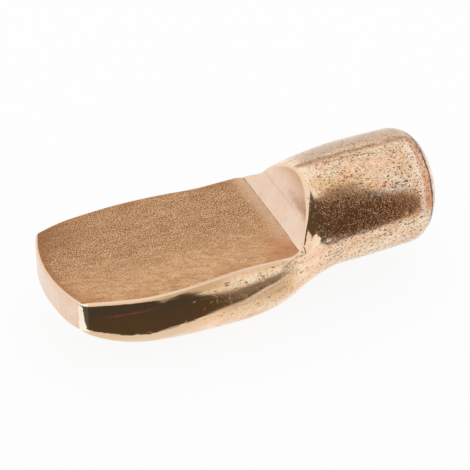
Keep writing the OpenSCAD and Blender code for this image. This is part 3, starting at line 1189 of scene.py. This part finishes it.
def make_polished_copper():
    metal, shader, place = new_metal("polished_ramp")
    parts = split(place)
    across, up = parts[1], parts[2]
    colour = mottled(place, 0.9, RAMP_LIGHT, RAMP_DEEP, 0.2)
    streaks = noise(stretch(place, (1.0, 1.0, 0.15)), 0.16, 2.0)
    colour = blend(ramp(streaks, 0.5, 0.75, 0.0, 0.35), colour, RAMP_STREAK)
    knee_level = SEAT_H + KNEE_H
    # Painted shade: the ramp turns darker and redder from above the knee up to its crest.
    colour = blend(ramp(up, knee_level + 0.3, CREST_H, 0.0, 0.85), colour, RAMP_CREST_SHADE)
    off_knee = calc("ABSOLUTE", calc("SUBTRACT", up, knee_level))
    knee_line = times(ramp(off_knee, 0.06, 0.0), ramp(across, -1.6, -0.2))
    colour = tint(colour, knee_line, 0.4, KNEE_SHADE)
    corner = use_group("pressed_corner", place)
    colour = tint(colour, corner["Mask"], 0.8, BROWN)
    # Painted highlight: a paler colour along the edges.
    colour = tint(colour, ramp(edge_gap_of(metal), 0.07, 0.03), 0.9, EDGE_HIGHLIGHT)
    # Painted highlight: white up the near corner of the tip.
    corner_highlight = use_group("painted_corner_highlight", place)
    feed(shader.inputs["Base Color"], blend(corner_highlight["Mask"], colour, WHITE_HIGHLIGHT))
    shader.inputs["Roughness"].default_value = 0.24
    press_relief(shader, [grained(place, 0.25, 0.004, 0.6)["Height"]])
    return metal


# ---------- piece
def new_object(name, mesh):
    made = bpy.data.objects.new(name, mesh)
    bpy.context.scene.collection.objects.link(made)
    return made


pin_mesh = shaped_body()
bar_copper = make_bar_copper()
seat_copper = make_seat_copper()
polished_copper = make_polished_copper()
FINISHES = {"seat": seat_copper, "ramp": polished_copper, "tip": polished_copper, "bar": bar_copper}


def attribute(tree, name, kind="FLOAT"):
    return node(tree, "GeometryNodeInputNamedAttribute", {"Name": name}, data_type=kind).outputs[0]


def in_zone(tree, zone):
    feeds = {2: attribute(tree, "zone", "INT"), 3: ZONES[zone]}
    return node(tree, "FunctionNodeCompare", feeds, data_type="INT", operation="EQUAL").outputs[0]


TUMBLING = [
    ("Dents per Square Millimetre", "Float", 2.6),
    ("Smallest Dent", "Float", 0.05),
    ("Largest Dent", "Float", 0.13),
    ("Dent Depth", "Float", 0.009),
    ("Unevenness", "Float", 0.03),
    ("Seat Grain", "Float", 0.010),
    ("Seed", "Int", 7),
]
DRIFT_SIZE = 1.3
DRIFT_STRETCH = (0.5, 1.0, 1.0)
PEBBLE_SIZE = 0.22
EDGE_CALM = (0.05, 0.3)


def dent_hollows(tree, taken, on_bar):
    """Hollows of dents scattered over the bar, from 0 to 1 at the middle of the largest."""
    per_metre = times(taken["Dents per Square Millimetre"], 1 / MM ** 2)
    scatter = node(tree, "GeometryNodeDistributePointsOnFaces", {
        "Mesh": taken["Geometry"], "Selection": on_bar, "Density": per_metre, "Seed": taken["Seed"]})
    spread = node(tree, "FunctionNodeRandomValue", data_type="FLOAT")
    feed(spread.inputs[2], times(taken["Smallest Dent"], MM))
    feed(spread.inputs[3], times(taken["Largest Dent"], MM))
    feed(spread.inputs["Seed"], taken["Seed"])
    sized = {"Geometry": scatter.outputs["Points"], "Name": "dent_reach", "Value": spread.outputs[1]}
    dents = node(tree, "GeometryNodeStoreNamedAttribute", sized, domain="POINT")
    near = node(tree, "GeometryNodeProximity", {"Geometry": dents.outputs[0]}, target_element="POINTS")
    which = node(tree, "GeometryNodeSampleNearest", {"Geometry": dents.outputs[0]}, domain="POINT")
    reach = node(tree, "GeometryNodeSampleIndex", {
        "Geometry": dents.outputs[0], "Value": attribute(tree, "dent_reach"), "Index": which.outputs[0]},
        domain="POINT").outputs[0]
    share = calc("DIVIDE", near.outputs["Distance"], reach)
    hollow = calc("MAXIMUM", calc("SUBTRACT", 1.0, times(share, share)), 0.0)
    hollow = times(hollow, hollow)
    largest = times(taken["Largest Dent"], MM)
    return times(hollow, calc("DIVIDE", reach, largest))


def make_tumbling_tree():
    """Geometry nodes: scattered dents and a slight unevenness on the bar, and pebbled grain on the seat."""
    tree = bpy.data.node_groups.new("tumbling", "GeometryNodeTree")
    tree.interface.new_socket("Geometry", in_out="INPUT", socket_type="NodeSocketGeometry")
    for label, kind, value in TUMBLING:
        socket = tree.interface.new_socket(label, in_out="INPUT", socket_type="NodeSocket" + kind)
        socket.default_value = value
    tree.interface.new_socket("Geometry", in_out="OUTPUT", socket_type="NodeSocketGeometry")
    taken = node(tree, "NodeGroupInput").outputs
    given = node(tree, "NodeGroupOutput").inputs
    on_bar = in_zone(tree, "bar")
    hollow = dent_hollows(tree, taken, on_bar)

    place = stretch(node(tree, "GeometryNodeInputPosition").outputs[0], PER_MM)
    drift = calc("SUBTRACT", noise(stretch(place, DRIFT_STRETCH), DRIFT_SIZE, 2.0), 0.5)
    pebbles = calc("SUBTRACT", noise(place, PEBBLE_SIZE, 2.0, 0.6), 0.5)
    inside = ramp(attribute(tree, "edge_gap"), *EDGE_CALM)
    rise = times(times(hollow, taken["Dent Depth"]), -1.0)
    rise = times(scaled(drift, taken["Unevenness"], rise), on_bar)
    seat_rise = times(times(pebbles, taken["Seat Grain"]), in_zone(tree, "seat"))
    rise = times(calc("ADD", rise, seat_rise), inside)
    offset = enlarge(node(tree, "GeometryNodeInputNormal").outputs[0], times(rise, MM))
    moved = node(tree, "GeometryNodeSetPosition", {"Geometry": taken["Geometry"], "Offset": offset})
    last = node(tree, "GeometryNodeRealizeInstances", {0: moved.outputs[0]})
    for zone, finish in FINISHES.items():
        last = node(tree, "GeometryNodeSetMaterial", {
            "Geometry": last.outputs[0], "Selection": in_zone(tree, zone), "Material": finish})
    feed(given["Geometry"], last.outputs[0])
    return tree


def made_plain(piece):
    """Turns what a modifier shows into a plain mesh, and takes the modifier off."""
    graph = bpy.context.evaluated_depsgraph_get()
    mesh = bpy.data.meshes.new_from_object(piece.evaluated_get(graph))
    piece.modifiers.clear()
    piece.data = mesh
    return piece


def tumbled(piece):
    tree = make_tumbling_tree()
    modifier = piece.modifiers.new("tumbling", "NODES")
    modifier.node_group = tree
    values = {label: value for label, _, value in TUMBLING}
    for socket in tree.interface.items_tree:
        if socket.in_out == "INPUT" and socket.name in values:
            modifier[socket.identifier] = values[socket.name]
    return made_plain(piece)


pin = tumbled(new_object("shelf_support_pin", pin_mesh))

# ---------- floor, light and camera
VIEW_BACK = Vector((-0.3247, -0.7252, 0.6071)).normalized()
AIM = Vector((-4.383, 0.250, -0.494)) * MM
VIEW_DISTANCE = 100 * MM
LENS = 188.66
SENSOR = 36
CLIP_START = 5 * MM
FLOOR_HALF = 600
FLOOR_GREY = (0.9, 0.9, 0.9, 1)
CAMERA_GLOW = 0.9
WHITE = (1, 1, 1, 1)
CARD_COLOUR = (0.10, 0.075, 0.05, 1)
CARD_LIFT = 0.02
FLAG_FOOT = [(-45, -4.3), (-3.5, -4.3), (5.2, -8.2), (8.5, -13.9),
             (1.2, -7.3), (-7.8, -7.3), (-10, -8.4), (-45, -8.4)]
FLAG_TOP = [(-3.0, -3.4, 2.8), (3.3, -9.1, 36.8)]
FLAG_FOLD = (4, 3)  # corners of the foot from which the upright rises


def glowing(name, colour):
    """A material, a plain glow in it, and the socket that takes its surface."""
    made = bpy.data.materials.new(name)
    made.use_nodes = True
    glow = node(made.node_tree, "ShaderNodeEmission", {"Color": colour, "Strength": 1.0})
    return made, glow.outputs[0], made.node_tree.nodes["Material Output"].inputs["Surface"]


def panels(name, points, faces, material):
    """Flat faces of one material; points are in millimetres."""
    mesh = bpy.data.meshes.new(name)
    mesh.from_pydata([tuple(c * MM for c in p) for p in points], [], faces)
    mesh.materials.append(material)
    return new_object(name, mesh)


def make_floor():
    """A plain white floor that keeps a soft shadow."""
    low, high = -FLOOR_HALF, FLOOR_HALF
    corners = [(x, y, BOX_LOW[2]) for x, y in [(low, low), (high, low), (high, high), (low, high)]]
    paint, glow, surface = glowing("white_floor", WHITE)
    body = paint.node_tree.nodes["Principled BSDF"]
    body.inputs["Base Color"].default_value = FLOOR_GREY
    body.inputs["Roughness"].default_value = 1
    body.inputs["Specular IOR Level"].default_value = 0
    path = node(paint.node_tree, "ShaderNodeLightPath").outputs
    share = scaled(path["Is Camera Ray"], CAMERA_GLOW, path["Is Glossy Ray"])
    mixed = node(paint.node_tree, "ShaderNodeMixShader", {0: share, 1: body.outputs[0], 2: glow})
    feed(surface, mixed.outputs[0])
    panels("floor", corners, [(0, 1, 2, 3)], paint)


def make_tent():
    """A plain white light tent."""
    world = bpy.data.worlds.new("light_tent")
    world.use_nodes = True
    bpy.context.scene.world = world
    light = world.node_tree.nodes["Background"].inputs
    light["Color"].default_value = WHITE
    light["Strength"].default_value = 1


def make_flag():
    """A bent dark card before the pin: its foot lies on the floor, and its upright leans before the end."""
    points = [(x, y, BOX_LOW[2] + CARD_LIFT) for x, y in FLAG_FOOT] + FLAG_TOP
    foot = tuple(range(len(FLAG_FOOT)))
    upright = FLAG_FOLD + (len(FLAG_FOOT) + 1, len(FLAG_FOOT))
    card, glow, surface = glowing("dark_card", CARD_COLOUR)
    feed(surface, glow)
    flag = panels("flag", points, [foot, upright], card)
    flag.visible_camera = False
    flag.visible_diffuse = False
    flag.visible_shadow = False


def place_camera():
    lens = bpy.data.cameras.new("camera")
    lens.sensor_width = SENSOR
    lens.lens = LENS
    lens.clip_start = CLIP_START
    camera = new_object("camera", lens)
    camera.location = AIM + VIEW_BACK * VIEW_DISTANCE
    camera.rotation_mode = "QUATERNION"
    camera.rotation_quaternion = (-VIEW_BACK).to_track_quat("-Z", "Y")
    bpy.context.scene.camera = camera


make_flag()
make_floor()
make_tent()
place_camera()
bpy.context.scene.view_settings.view_transform = "Standard"

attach(pin, "root")
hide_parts("shelf_pin")
